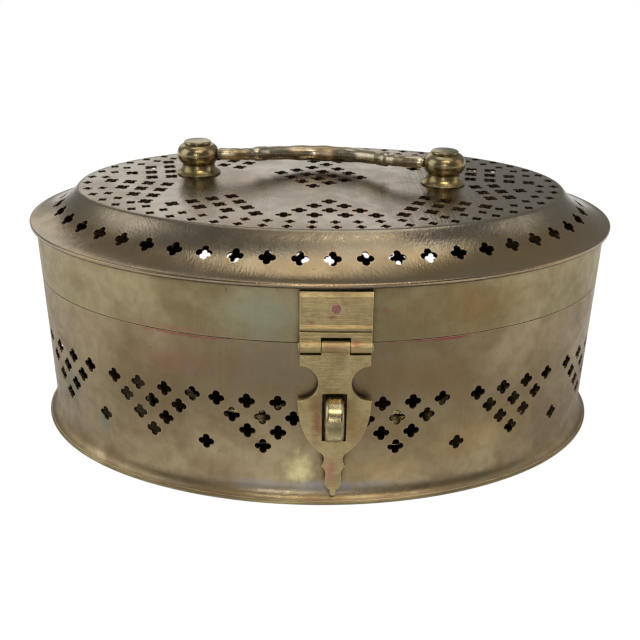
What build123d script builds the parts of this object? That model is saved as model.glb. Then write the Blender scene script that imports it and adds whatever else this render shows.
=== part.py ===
"""Oval pierced-brass spice box (masala dabba) with a hinged lid, a front hasp, a drop bail and seven cups.

Frame: +X along the oval's long axis, -Y towards the hasp (the front), +Z up.
Origin: centre of the oval on the plane that the box rests on. Units: millimetres.
"""

import math
import os

from build123d import *

os.makedirs("parts", exist_ok=True)

# ---------------------------------------------------------------- driving dimensions
wall_half_length = 132.4
wall_half_width = 90.4
sheet = 1.2
floor_thickness = 1.6
foot_overhang = 4.6
seam_height = 74.2
seam_gap = 0.4
rim_height = 100.2
rim_overhang = 2.6
running_clearance = 0.05

# Quatrefoil piercings: four round lobes on a square lattice turned by 45 degrees
large_lobe_radius = 1.6
large_lobe_offset = 1.95
small_lobe_radius = 1.05
small_lobe_offset = 1.3
lattice_half_pitch = 6.4
wall_row_pitch = 7.0

# Lid dome, as distances in from the rim's outline and heights above the rest plane
cove_start_offset = 1.2
cove_radius = 37.8
cove_start_slope = 12
cove_end_slope = 50
shoulder_radius = 2.4

# Handle posts and bail
handle_centre = (-1.1, 6.7)
post_spacing = 116.5
handle_turn = -7.3
pivot_above_lid = 9.6
post_height = 15.7
post_shank_radius = 2.5
pin_socket_depth = 6.0
pin_socket_lead = 0.5
post_ball_radius = 9.85
bail_pin_radius = 1.9
bail_depth = 21.2
bow_radius = 3.75
bow_end_radius = 3.1
bail_collar_radius = 3.5
arm_radius = 2.9
bail_droop = 8

# Hasp, staple and hinge
hasp_centre = 4.8
hasp_half_width = 14.0
knuckle_radius = 2.6
knuckle_split = 5.9
strap_knuckle_half = 5.6
pin_radius = 1.2
rivet_radius = 1.9
knuckle_height = 74.4
hasp_axis_depth = wall_half_width + 2.8
hinge_axis_depth = wall_half_width + 3.0
hinge_half_width = 20.0
hinge_lower_span = (52.0, 71.0)
hinge_upper_span = (78.0, 95.0)
hinge_lower_rivets = 58.5
hinge_upper_rivets = 86.5
hinge_rivet_places = (-12.0, 12.0)
hasp_rivet_height = 90.0
strap_thickness = 2.0
strap_gap = 1.3
slot_width = 9.8
staple_width = 7.5
staple_height = 20.0
staple_centre = 42.0
staple_reach = 12.2
staple_eye_depth = 6.8
staple_eye_radius = 3.1
tenon_width = 5.0
tenon_height = 12.0

# Cups and spoon
cup_radius = 30.0
cup_height = 38.0
cup_sheet = 0.9
cup_pitch = 62.0

# ---------------------------------------------------------------- derived places
rim_half_length = wall_half_length + rim_overhang
rim_half_width = wall_half_width + rim_overhang
rim_bottom = rim_height - 2.2
band_top = rim_height - 1.2
lid_bottom = seam_height + seam_gap


def slope_step(radius, start, end):
    """Run and rise of an arc whose slope goes from start to end degrees, bending upwards."""
    start_angle = math.radians(start)
    end_angle = math.radians(end)
    run = radius * (math.sin(end_angle) - math.sin(start_angle))
    rise = radius * (math.cos(start_angle) - math.cos(end_angle))
    return run, rise


cove_profile = []
for slope in (12, 20, 30, 40, 50):
    run, rise = slope_step(cove_radius, cove_start_slope, slope)
    cove_profile.append((cove_start_offset + run, rim_height + rise))

shoulder_start_offset, shoulder_start_height = cove_profile[-1]
shoulder_profile = [cove_profile[-1]]
for slope in (35, 18, 0):
    run, rise = slope_step(shoulder_radius, slope, cove_end_slope)
    shoulder_profile.append((shoulder_start_offset + run, shoulder_start_height + rise))

lid_top_height = shoulder_profile[-1][1]
pivot_height = lid_top_height + pivot_above_lid

handle_angle = math.radians(handle_turn)
handle_along = Vector(math.cos(handle_angle), math.sin(handle_angle), 0)
handle_back = Vector(-math.sin(handle_angle), math.cos(handle_angle), 0)
handle_middle = Vector(*handle_centre, 0)
post_centres = [handle_middle + handle_along * (side * post_spacing / 2) for side in (-1, 1)]

wall_outline = Edge.make_ellipse(wall_half_length, wall_half_width)
wall_length = wall_outline.length


def wall_plane(arc, height):
    """Plane that touches the wall, at an arc length to the right of the front centreline."""
    share = (0.75 + arc / wall_length) % 1
    point = wall_outline.position_at(share)
    along = wall_outline.tangent_at(share)
    return Plane(
        origin=(point.X, point.Y, height),
        x_dir=along,
        z_dir=along.cross(Vector(0, 0, 1)),
    )


def ring_places(inset, count, phase=0.5):
    """Evenly spaced points and headings on the oval that lies inset from the rim.

    The first point stands a share of one step, the phase, to the right of the front centreline.
    """
    outline = Edge.make_ellipse(rim_half_length - inset, rim_half_width - inset)
    places = []
    for index in range(count):
        share = (0.75 + (index + phase) / count) % 1
        point = outline.position_at(share)
        along = outline.tangent_at(share)
        places.append((point, along))
    return places


def triangle_lattice(rows):
    """Lattice points of a 4-3-2-1 triangle, with its long row on the X axis and its point towards +Y."""
    points = []
    for row in range(rows):
        count = rows - row
        for index in range(count):
            across = (2 * index - (count - 1)) * lattice_half_pitch
            points.append((across, row * lattice_half_pitch))
    return points


# ---------------------------------------------------------------- quatrefoil cutters
with BuildSketch() as large_quatrefoil:
    with PolarLocations(large_lobe_offset, 4):
        Circle(large_lobe_radius)
    Circle(large_lobe_radius / 2)

with BuildSketch() as small_quatrefoil:
    with PolarLocations(small_lobe_offset, 4):
        Circle(small_lobe_radius)
    Circle(small_lobe_radius / 2)

# ---------------------------------------------------------------- base floor with its foot flange
with BuildPart() as base_floor:
    with BuildSketch():
        Ellipse(wall_half_length + foot_overhang, wall_half_width + foot_overhang)
    extrude(amount=floor_thickness)
    fillet(base_floor.edges(), 0.7)
base_floor.part.label = "base_floor"
export_step(base_floor.part, "parts/base_floor.step")

# ---------------------------------------------------------------- pierced base wall
group_arcs = [-126.8, -73.5, -24.6, 30.9, 85.8, 140.0]
back_groups = 7
back_gap = (wall_length - group_arcs[-1] + group_arcs[0]) / (back_groups + 1)
for index in range(back_groups):
    group_arcs.append(group_arcs[5] + (index + 1) * back_gap)
group_arcs.sort()


def row_drift(arc, amount):
    """The piercings sit a little lower on the right-hand side than on the left."""
    return -amount * math.sin(2 * math.pi * arc / wall_length)


wall_holes = []
for arc in group_arcs:
    top_row = 46.5 + row_drift(arc, 1.1)
    for across, inward in triangle_lattice(4):
        rows_down = inward / lattice_half_pitch
        wall_holes.append((arc + across, top_row - rows_down * wall_row_pitch))

group_ring = group_arcs + [group_arcs[0] + wall_length]
for left_group, right_group in zip(group_ring, group_ring[1:]):
    middle = (left_group + right_group) / 2
    behind_hasp = abs(middle - hasp_centre) < hasp_half_width
    if not behind_hasp:
        wall_holes.append((middle, 24.3 + row_drift(middle, 1.9)))

# The wall flares into the foot: heights and how far the sheet stands out there
foot_flare = ((floor_thickness, 3.9), (3.2, 1.8), (5.8, 0.5), (9.5, 0.0))
flare_top = foot_flare[-1][0]

with BuildPart() as base_wall:
    with BuildSketch(Plane.XY.offset(flare_top)):
        Ellipse(wall_half_length, wall_half_width)
    extrude(amount=seam_height - flare_top)
    for height, outward in foot_flare:
        with BuildSketch(Plane.XY.offset(height)):
            Ellipse(wall_half_length + outward, wall_half_width + outward)
    loft()
    with BuildSketch(Plane.XY.offset(flare_top)):
        Ellipse(wall_half_length - sheet, wall_half_width - sheet)
    extrude(amount=seam_height - flare_top, mode=Mode.SUBTRACT)
    for height, outward in foot_flare:
        with BuildSketch(Plane.XY.offset(height)):
            Ellipse(wall_half_length + outward - sheet, wall_half_width + outward - sheet)
    loft(mode=Mode.SUBTRACT)
    with BuildSketch(*[wall_plane(arc, height) for arc, height in wall_holes]):
        add(large_quatrefoil.sketch)
    extrude(amount=2 * sheet, both=True, mode=Mode.SUBTRACT)
    with BuildSketch(Plane.XZ):
        with Locations((hasp_centre, staple_centre)):
            Rectangle(tenon_width, tenon_height)
    extrude(amount=wall_half_width + 5, mode=Mode.SUBTRACT)
    with BuildSketch(Plane.XZ):
        with Locations(*[(x, hinge_lower_rivets) for x in hinge_rivet_places]):
            Circle(rivet_radius)
    extrude(amount=-wall_half_width - 5, mode=Mode.SUBTRACT)
base_wall.part.label = "base_wall"
export_step(base_wall.part, "parts/base_wall.step")

# ---------------------------------------------------------------- inner collar that locates the lid
with BuildPart() as seam_collar:
    with BuildSketch(Plane.XY.offset(seam_height - 12)):
        Ellipse(wall_half_length - sheet, wall_half_width - sheet)
        Ellipse(wall_half_length - 2.2, wall_half_width - 2.2, mode=Mode.SUBTRACT)
    extrude(amount=11.4)
    with BuildSketch(Plane.XY.offset(seam_height - 0.6)):
        Ellipse(wall_half_length - 1.6, wall_half_width - 1.6)
        Ellipse(wall_half_length - 2.2, wall_half_width - 2.2, mode=Mode.SUBTRACT)
    extrude(amount=5.4)
seam_collar.part.label = "seam_collar"
export_step(seam_collar.part, "parts/seam_collar.step")

# ---------------------------------------------------------------- lid band
with BuildPart() as lid_band:
    with BuildSketch(Plane.XY.offset(lid_bottom)):
        Ellipse(wall_half_length, wall_half_width)
        Ellipse(wall_half_length - sheet, wall_half_width - sheet, mode=Mode.SUBTRACT)
    extrude(amount=band_top - lid_bottom)
    with BuildSketch(Plane.XZ):
        with Locations((hasp_centre, hasp_rivet_height)):
            Circle(rivet_radius)
    extrude(amount=wall_half_width + 5, mode=Mode.SUBTRACT)
    with BuildSketch(Plane.XZ):
        with Locations(*[(x, hinge_upper_rivets) for x in hinge_rivet_places]):
            Circle(rivet_radius)
    extrude(amount=-wall_half_width - 5, mode=Mode.SUBTRACT)
lid_band.part.label = "lid_band"
export_step(lid_band.part, "parts/lid_band.step")

# ---------------------------------------------------------------- pierced lid top
shoulder_hole_inset = 13.6
shoulder_hole_count = 50
shoulder_phase = 0.26
edge_hole_count = 56
outer_edge_inset = 26.8
inner_edge_inset = 33.2
large_hole_gap = 7.6
small_hole_gap = 5.6
triangle_inset = 42.4
triangle_turns = ((0, 2.8), (32, 2.8), (70, 0.0))
diamond_turn = -10.8
diamond_centre = (-0.5, 11.6)


def clear_of(place, holes, gap):
    """True when a hole at a place would be at least the gap away from every hole in a list."""
    return all((place.position - other.position).length >= gap for other in holes)


# Each triangle's turn away from the short axis, and how far it is shifted along the oval
triangles = []
for turn, shift in triangle_turns:
    for signed in sorted({turn, -turn}):
        triangles.append((-90 + signed, shift))
        triangles.append((90 + signed, shift))

plateau_holes = []
for angle, shift in triangles:
    half_length = rim_half_length - triangle_inset
    half_width = rim_half_width - triangle_inset
    base_x = half_length * math.cos(math.radians(angle))
    base_y = half_width * math.sin(math.radians(angle))
    inward_x = -base_x / half_length**2
    inward_y = -base_y / half_width**2
    heading = math.degrees(math.atan2(inward_y, inward_x)) - 90
    frame = Location((base_x + shift, base_y, 0), (0, 0, heading))
    for across, inward in triangle_lattice(4):
        place = frame * Location((across, inward, 0))
        if clear_of(place, plateau_holes, large_hole_gap):
            plateau_holes.append(place)

diamond = Location((*diamond_centre, 0), (0, 0, diamond_turn))
for row in range(4):
    for column in range(4):
        across = (column - row) * lattice_half_pitch
        back = (column + row - 3) * lattice_half_pitch
        place = diamond * Location((across, back, 0))
        if clear_of(place, plateau_holes, large_hole_gap):
            plateau_holes.append(place)

edge_holes = []
for inset in (outer_edge_inset, inner_edge_inset):
    for point, along in ring_places(inset, edge_hole_count):
        turn = math.degrees(math.atan2(along.Y, along.X))
        place = Location((point.X, point.Y, 0), (0, 0, turn))
        if clear_of(place, plateau_holes, small_hole_gap):
            edge_holes.append(place)

shoulder_slope = 32
shoulder_planes = []
for point, along in ring_places(shoulder_hole_inset, shoulder_hole_count, shoulder_phase):
    outward = along.cross(Vector(0, 0, 1))
    tilt = math.radians(shoulder_slope)
    shoulder_planes.append(
        Plane(
            origin=(point.X, point.Y, rim_height + 5.0),
            x_dir=along,
            z_dir=outward * math.sin(tilt) + Vector(0, 0, math.cos(tilt)),
        )
    )

# Inside of the dome: it springs from the top of the band and runs one sheet below the outer skin
cavity_profiles = (
    [(rim_overhang + sheet, band_top), (cove_profile[1][0], cove_profile[1][1] - sheet)],
    [(inward, height - sheet) for inward, height in cove_profile[1:]],
    [(inward, height - sheet) for inward, height in shoulder_profile],
)

with BuildPart() as lid_top:
    with BuildSketch(Plane.XY.offset(rim_bottom)):
        Ellipse(rim_half_length, rim_half_width)
    extrude(amount=rim_height - rim_bottom)
    fillet(lid_top.edges(), 0.8)
    for profile in (cove_profile, shoulder_profile):
        for inward, height in profile:
            with BuildSketch(Plane.XY.offset(height)):
                Ellipse(rim_half_length - inward, rim_half_width - inward)
        loft()
    with BuildSketch(Plane.XY.offset(rim_bottom)):
        Ellipse(wall_half_length, wall_half_width)
    extrude(amount=band_top - rim_bottom, mode=Mode.SUBTRACT)
    for profile in cavity_profiles:
        for inward, height in profile:
            with BuildSketch(Plane.XY.offset(height)):
                Ellipse(rim_half_length - inward, rim_half_width - inward)
        loft(mode=Mode.SUBTRACT)
    with BuildSketch(Plane.XY.offset(rim_height)):
        with Locations(*plateau_holes):
            add(large_quatrefoil.sketch)
        with Locations(*edge_holes):
            add(small_quatrefoil.sketch)
        with Locations(*post_centres):
            Circle(post_shank_radius + running_clearance)
    extrude(amount=lid_top_height - rim_height + sheet, mode=Mode.SUBTRACT)
    with BuildSketch(*shoulder_planes):
        add(large_quatrefoil.sketch)
    extrude(amount=2.5 * sheet, both=True, mode=Mode.SUBTRACT)
lid_top.part.label = "lid_top"
export_step(lid_top.part, "parts/lid_top.step")

# ---------------------------------------------------------------- handle posts and their washers
for name, side, centre in zip(("left", "right"), (-1, 1), post_centres):
    foot = centre + Vector(0, 0, lid_top_height)
    shank_bottom = lid_top_height - sheet - 2.2
    with BuildPart() as handle_post:
        with BuildSketch(Plane(origin=foot, x_dir=handle_along, z_dir=handle_back * -1)):
            with BuildLine():
                Polyline((0, 0), (10.2, 0), (10.2, 0.8))
                ThreePointArc((10.2, 0.8), (8.5, 2.2), (7.5, 4.6))
                ThreePointArc((7.5, 4.6), (post_ball_radius, pivot_above_lid), (6.6, 14.2))
                Polyline(
                    (6.6, 14.2), (6.3, 14.5), (6.3, 15.3), (5.7, post_height), (0, post_height), (0, 0)
                )
            make_face()
        revolve(axis=Axis(foot, (0, 0, 1)))
        with BuildSketch(Plane.XY.offset(shank_bottom)):
            with Locations((centre.X, centre.Y)):
                Circle(post_shank_radius)
        extrude(amount=sheet + 2.2)
        with BuildSketch(Plane.XY.offset(shank_bottom)):
            with Locations((centre.X, centre.Y)):
                Circle(3.6)
        extrude(amount=1.2)
        pivot = centre + Vector(0, 0, pivot_height)
        socket_mouth = pivot - handle_along * (side * (post_ball_radius + pin_socket_lead))
        with BuildSketch(Plane(origin=socket_mouth, z_dir=handle_along * side)):
            Circle(bail_pin_radius + running_clearance)
        extrude(amount=pin_socket_lead + pin_socket_depth, mode=Mode.SUBTRACT)
    handle_post.part.label = f"handle_post_{name}"
    export_step(handle_post.part, f"parts/handle_post_{name}.step")

with BuildPart() as post_washers:
    with BuildSketch(Plane.XY.offset(lid_top_height - sheet - 1.0)):
        with Locations(*post_centres):
            Circle(7.0)
            Circle(post_shank_radius + running_clearance, mode=Mode.SUBTRACT)
    extrude(amount=1.0)
post_washers.part.label = "post_washers"
export_step(post_washers.part, "parts/post_washers.step")

# ---------------------------------------------------------------- drop bail, folded back on the lid
droop = math.radians(bail_droop)
bail_plane = Plane(
    origin=handle_middle + Vector(0, 0, pivot_height),
    x_dir=handle_along,
    z_dir=handle_back * math.sin(droop) + Vector(0, 0, math.cos(droop)),
)
arm_reach = post_spacing / 2 - post_ball_radius - 0.6
bow_end = (29.5, 8.2)
with BuildPart() as bail:
    for side in (-1, 1):
        with BuildLine(bail_plane) as arm:
            TangentArc(
                (side * arm_reach, 0),
                (side * bow_end[0], bow_end[1]),
                tangent=handle_along * -side,
            )
        with BuildSketch(Plane(origin=arm.line @ 0, z_dir=arm.line % 0)):
            Circle(arm_radius)
        sweep(path=arm.line)
        with BuildSketch(Plane(origin=arm.line @ 0, z_dir=handle_along * side)):
            Circle(bail_pin_radius)
        extrude(amount=pin_socket_depth - 0.4)
        with BuildSketch(Plane(origin=arm.line @ 1, z_dir=arm.line % 1)):
            Circle(bail_collar_radius)
        extrude(amount=3.2, both=True)
    with BuildLine(bail_plane) as bow:
        ThreePointArc(bow_end, (0, bail_depth), (-bow_end[0], bow_end[1]))
    for share, radius in ((0, bow_end_radius), (0.5, bow_radius), (1, bow_end_radius)):
        with BuildSketch(Plane(origin=bow.line @ share, z_dir=bow.line % share)):
            Circle(radius)
    sweep(path=bow.line, multisection=True)
bail.part.label = "bail"
export_step(bail.part, "parts/bail.step")

# ---------------------------------------------------------------- hasp leaf riveted to the lid band
leaf_top = 96.8
leaf_bottom = 78.4
leaf_face = wall_half_width + 2.4
ridge_face = wall_half_width + 3.3
hasp_left = Plane(origin=(hasp_centre - hasp_half_width, 0, 0), x_dir=(0, -1, 0), z_dir=(-1, 0, 0))
hasp_right = Plane(origin=(hasp_centre + hasp_half_width, 0, 0), x_dir=(0, -1, 0), z_dir=(-1, 0, 0))
hasp_middle = Plane(origin=(hasp_centre, 0, 0), x_dir=(0, -1, 0), z_dir=(-1, 0, 0))
outer_knuckle = hasp_half_width - knuckle_split
with BuildPart() as hasp_leaf:
    with BuildSketch(hasp_right):
        with BuildLine():
            Polyline(
                (wall_half_width - 1.5, leaf_top),
                (leaf_face - 1.0, leaf_top),
                (leaf_face, leaf_top - 1.6),
                (leaf_face, 83.2),
                (ridge_face, 82.4),
                (ridge_face, 81.4),
                (leaf_face, 80.8),
                (ridge_face, 80.2),
                (ridge_face, leaf_bottom),
                (wall_half_width - 1.5, leaf_bottom),
                (wall_half_width - 1.5, leaf_top),
            )
        make_face()
    extrude(amount=2 * hasp_half_width)
    for edge_plane in (hasp_right, hasp_left.offset(-outer_knuckle)):
        with BuildSketch(edge_plane):
            with Locations((hasp_axis_depth, knuckle_height)):
                Circle(knuckle_radius)
                Circle(pin_radius + running_clearance, mode=Mode.SUBTRACT)
            with Locations((hasp_axis_depth - 0.9, knuckle_height + 3.0)):
                Rectangle(3.0, 2.8)
        extrude(amount=outer_knuckle)
    with BuildSketch(Plane.XY.offset(leaf_bottom - 5)):
        Ellipse(wall_half_length, wall_half_width)
    extrude(amount=30, mode=Mode.SUBTRACT)
    with BuildSketch(Plane.XZ):
        with Locations((hasp_centre, hasp_rivet_height)):
            Circle(rivet_radius)
    extrude(amount=wall_half_width + 10, mode=Mode.SUBTRACT)
hasp_leaf.part.label = "hasp_leaf"
export_step(hasp_leaf.part, "parts/hasp_leaf.step")

with BuildPart() as hasp_rivet:
    with BuildSketch(Plane.XZ.offset(wall_half_width - sheet - 1.0)):
        with Locations((hasp_centre, hasp_rivet_height)):
            Circle(2.6)
    extrude(amount=0.8)
    with BuildSketch(Plane.XZ.offset(wall_half_width - sheet - 0.2)):
        with Locations((hasp_centre, hasp_rivet_height)):
            Circle(rivet_radius)
    extrude(amount=leaf_face - wall_half_width + sheet + 0.5)
hasp_rivet.part.label = "hasp_rivet"
export_step(hasp_rivet.part, "parts/hasp_rivet.step")

pin_head_radius = 1.9
pin_head_length = 0.7
hinge_right = Plane(origin=(hinge_half_width, 0, 0), x_dir=(0, 1, 0), z_dir=(1, 0, 0))
for name, plane, depth, length in (
    ("hasp_pin", hasp_left.offset(pin_head_length), hasp_axis_depth, 2 * hasp_half_width),
    ("hinge_pin", hinge_right.offset(pin_head_length), hinge_axis_depth, 2 * hinge_half_width),
):
    with BuildPart() as pin:
        with BuildSketch(plane):
            with Locations((depth, knuckle_height)):
                Circle(pin_head_radius)
        extrude(amount=-pin_head_length)
        with BuildSketch(plane):
            with Locations((depth, knuckle_height)):
                Circle(pin_radius)
        extrude(amount=-length - 2 * pin_head_length)
        with BuildSketch(plane.offset(-length - pin_head_length)):
            with Locations((depth, knuckle_height)):
                Circle(pin_head_radius)
        extrude(amount=-pin_head_length)
    pin.part.label = name
    export_step(pin.part, f"parts/{name}.step")

# ---------------------------------------------------------------- hasp strap that hangs over the staple
strap_back = wall_half_width + strap_gap
strap_plane = Plane(origin=(hasp_centre, -strap_back, 0), x_dir=(1, 0, 0), z_dir=(0, -1, 0))
with BuildPart() as hasp_strap:
    with BuildSketch(strap_plane):
        with BuildLine() as right_side:
            Polyline((0, 70.8), (14.0, 70.8), (13.9, 65.9))
            ThreePointArc((13.9, 65.9), (6.6, 58.2), (14.9, 50.3))
            Spline((14.9, 50.3), (14.0, 41.3), (10.8, 32.0), (4.6, 24.9))
            Spline((4.6, 24.9), (3.9, 22.6), (5.0, 19.0))
            Spline((5.0, 19.0), (3.4, 16.4), (3.5, 11.0), (1.3, 7.2))
            Polyline((1.3, 7.2), (1.1, 4.4), (0, 4.2), (0, 70.8))
        make_face()
        mirror(about=Plane.YZ)
        with Locations((0, (53.4 + 31.2) / 2)):
            Rectangle(slot_width, 53.4 - 31.2, mode=Mode.SUBTRACT)
    extrude(amount=strap_thickness)
    with BuildSketch(hasp_middle.offset(-strap_knuckle_half)):
        with Locations((hasp_axis_depth, knuckle_height)):
            Circle(knuckle_radius)
        with Locations((strap_back + strap_thickness / 2, (knuckle_height + 70.0) / 2)):
            Rectangle(strap_thickness, knuckle_height - 70.0)
    extrude(amount=2 * strap_knuckle_half)
    with BuildSketch(hasp_middle.offset(-strap_knuckle_half)):
        with Locations((hasp_axis_depth, knuckle_height)):
            Circle(pin_radius + running_clearance)
    extrude(amount=2 * strap_knuckle_half, mode=Mode.SUBTRACT)
hasp_strap.part.label = "hasp_strap"
export_step(hasp_strap.part, "parts/hasp_strap.step")

# ---------------------------------------------------------------- staple with a padlock eye
staple_plane = hasp_middle.offset(-staple_width / 2)
staple_radius = staple_height / 2
staple_straight = wall_half_width + staple_reach - staple_radius
with BuildPart() as hasp_staple:
    with BuildSketch(staple_plane):
        with BuildLine():
            Polyline(
                (staple_straight, staple_centre - staple_radius),
                (wall_half_width - 4, staple_centre - staple_radius),
                (wall_half_width - 4, staple_centre + staple_radius),
                (staple_straight, staple_centre + staple_radius),
            )
            ThreePointArc(
                (staple_straight, staple_centre + staple_radius),
                (staple_straight + staple_radius, staple_centre),
                (staple_straight, staple_centre - staple_radius),
            )
        make_face()
    extrude(amount=staple_width)
    outer_edges = hasp_staple.edges().filter_by(Axis.X, reverse=True).sort_by(Axis.Y)[:-2]
    fillet(outer_edges, 1.6)
    with BuildSketch(Plane.XY.offset(staple_centre - staple_height)):
        Ellipse(wall_half_length, wall_half_width)
    extrude(amount=2 * staple_height, mode=Mode.SUBTRACT)
    with BuildSketch(staple_plane):
        with Locations((wall_half_width + staple_eye_depth, staple_centre)):
            Circle(staple_eye_radius)
    extrude(amount=staple_width, mode=Mode.SUBTRACT)
    with BuildSketch(Plane.XZ.offset(wall_half_width - sheet - 2.0)):
        with Locations((hasp_centre, staple_centre)):
            Rectangle(tenon_width, tenon_height)
    extrude(amount=sheet + 3.0)
hasp_staple.part.label = "hasp_staple"
export_step(hasp_staple.part, "parts/hasp_staple.step")

with BuildPart() as staple_washer:
    with BuildSketch(Plane.XZ.offset(wall_half_width - sheet - 1.3)):
        with Locations((hasp_centre, staple_centre)):
            Rectangle(11, 18)
            Rectangle(tenon_width, tenon_height, mode=Mode.SUBTRACT)
    extrude(amount=1.6)
    fillet(staple_washer.edges().filter_by(Axis.Y).group_by(Axis.Z)[0], 2)
    fillet(staple_washer.edges().filter_by(Axis.Y).group_by(Axis.Z)[-1], 2)
    with BuildSketch(Plane.XY.offset(staple_centre - staple_height)):
        Ellipse(wall_half_length - sheet, wall_half_width - sheet)
    extrude(amount=2 * staple_height, mode=Mode.INTERSECT)
staple_washer.part.label = "staple_washer"
export_step(staple_washer.part, "parts/staple_washer.step")

# ---------------------------------------------------------------- back hinge
hinge_leaf_thickness = 1.4
hinge_knuckle_split = 6.8
lower_knuckles = ((-hinge_half_width, -hinge_knuckle_split), (hinge_knuckle_split, hinge_half_width))
upper_knuckles = ((-hinge_knuckle_split + 0.3, hinge_knuckle_split - 0.3),)
for name, (low, high), spans, rivet_row in (
    ("hinge_lower_leaf", hinge_lower_span, lower_knuckles, hinge_lower_rivets),
    ("hinge_upper_leaf", hinge_upper_span, upper_knuckles, hinge_upper_rivets),
):
    upper = low > knuckle_height
    web_low = knuckle_height if upper else high - 1.5
    web_high = low + 1.5 if upper else knuckle_height
    with BuildPart() as hinge_leaf:
        with BuildSketch(Plane.XY.offset(low)):
            Ellipse(wall_half_length + hinge_leaf_thickness, wall_half_width + hinge_leaf_thickness)
            Ellipse(wall_half_length, wall_half_width, mode=Mode.SUBTRACT)
            with Locations((0, wall_half_width)):
                Rectangle(2 * hinge_half_width, 12, mode=Mode.INTERSECT)
        extrude(amount=high - low)
        for start, end in spans:
            with BuildSketch(Plane(origin=(start, 0, 0), x_dir=(0, 1, 0), z_dir=(1, 0, 0))):
                with Locations((hinge_axis_depth, knuckle_height)):
                    Circle(knuckle_radius)
                with Locations((hinge_axis_depth - 1.4, (web_low + web_high) / 2)):
                    Rectangle(2.0, web_high - web_low)
                with Locations((hinge_axis_depth, knuckle_height)):
                    Circle(pin_radius + running_clearance, mode=Mode.SUBTRACT)
            extrude(amount=end - start)
        with BuildSketch(Plane.XZ):
            with Locations(*[(x, rivet_row) for x in hinge_rivet_places]):
                Circle(rivet_radius)
        extrude(amount=-wall_half_width - 10, mode=Mode.SUBTRACT)
    hinge_leaf.part.label = name
    export_step(hinge_leaf.part, f"parts/{name}.step")
    with BuildPart() as hinge_rivets:
        with BuildSketch(Plane.XZ.offset(-(wall_half_width - sheet - 1.6))):
            with Locations(*[(x, rivet_row) for x in hinge_rivet_places]):
                Circle(2.6)
        extrude(amount=-0.9)
        with BuildSketch(Plane.XZ.offset(-(wall_half_width - sheet - 0.8))):
            with Locations(*[(x, rivet_row) for x in hinge_rivet_places]):
                Circle(rivet_radius)
        extrude(amount=-sheet - hinge_leaf_thickness - 0.6)
        with BuildSketch(Plane.XZ.offset(-(wall_half_width + hinge_leaf_thickness - 0.1))):
            with Locations(*[(x, rivet_row) for x in hinge_rivet_places]):
                Circle(2.4)
        extrude(amount=-1.0)
    hinge_rivets.part.label = name.replace("leaf", "rivets")
    export_step(hinge_rivets.part, f"parts/{hinge_rivets.part.label}.step")

# ---------------------------------------------------------------- seven cups in a hexagon
cup_bottom = floor_thickness + running_clearance
cup_places = [(0, 0)]
for index in range(6):
    turn = math.radians(60 * index)
    cup_places.append((cup_pitch * math.cos(turn), cup_pitch * math.sin(turn)))
for number, (x, y) in enumerate(cup_places, start=1):
    with BuildPart() as katori:
        with BuildSketch(Plane(origin=(x, y, cup_bottom), x_dir=(1, 0, 0), z_dir=(0, -1, 0))):
            with BuildLine():
                Polyline((0, 0), (cup_radius - 9, 0))
                RadiusArc((cup_radius - 9, 0), (cup_radius - 2.4, 7), -7)
                Polyline(
                    (cup_radius - 2.4, 7),
                    (cup_radius - 1.4, cup_height - 1.8),
                    (cup_radius, cup_height - 1.4),
                    (cup_radius, cup_height),
                    (cup_radius - 2.2, cup_height),
                    (cup_radius - 2.4 - cup_sheet, 7.2),
                )
                RadiusArc((cup_radius - 2.4 - cup_sheet, 7.2), (cup_radius - 9.2, cup_sheet), 6.2)
                Polyline((cup_radius - 9.2, cup_sheet), (0, cup_sheet), (0, 0))
            make_face()
        revolve(axis=Axis((x, y, 0), (0, 0, 1)))
    katori.part.label = f"katori_{number}"
    export_step(katori.part, f"parts/katori_{number}.step")

# ---------------------------------------------------------------- spice spoon beside the cups
spoon_x = 100.0
bowl_y = -36.0
bowl_radius = 11.0
bowl_depth = 3.6
with BuildPart() as spice_spoon:
    with BuildSketch(Plane(origin=(spoon_x, bowl_y, cup_bottom), x_dir=(1, 0, 0), z_dir=(0, -1, 0))):
        with BuildLine():
            Polyline((0, 0), (3, 0))
            ThreePointArc((3, 0), (8.2, 1.2), (bowl_radius, bowl_depth))
            Polyline((bowl_radius, bowl_depth), (bowl_radius - 0.5, bowl_depth + 1.0))
            ThreePointArc((bowl_radius - 0.5, bowl_depth + 1.0), (7.6, 2.2), (3, 1.0))
            Polyline((3, 1.0), (0, 1.0), (0, 0))
        make_face()
    revolve(axis=Axis((spoon_x, bowl_y, 0), (0, 0, 1)))
    with BuildSketch(Plane(origin=(spoon_x - 2.5, 0, cup_bottom), x_dir=(0, 1, 0), z_dir=(1, 0, 0))):
        with BuildLine():
            Polyline(
                (bowl_y + bowl_radius - 1.2, 3.0),
                (48, 0),
                (48, 1.4),
                (bowl_y + bowl_radius - 1.0, 4.5),
                (bowl_y + bowl_radius - 1.2, 3.0),
            )
        make_face()
    extrude(amount=5)
spice_spoon.part.label = "spice_spoon"
export_step(spice_spoon.part, "parts/spice_spoon.step")
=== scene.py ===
"""Looks of an oval pierced brass spice box: its meshes, finishes, light and camera round the CAD frame.

Everything is in metres in the CAD's own frame: +X along the oval, -Y towards the hasp, +Z up.
"""

import logging
import math
from dataclasses import dataclass
from enum import Enum
from typing import Sequence, Union

import bmesh
import bpy
from mathutils import Matrix, Vector


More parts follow.
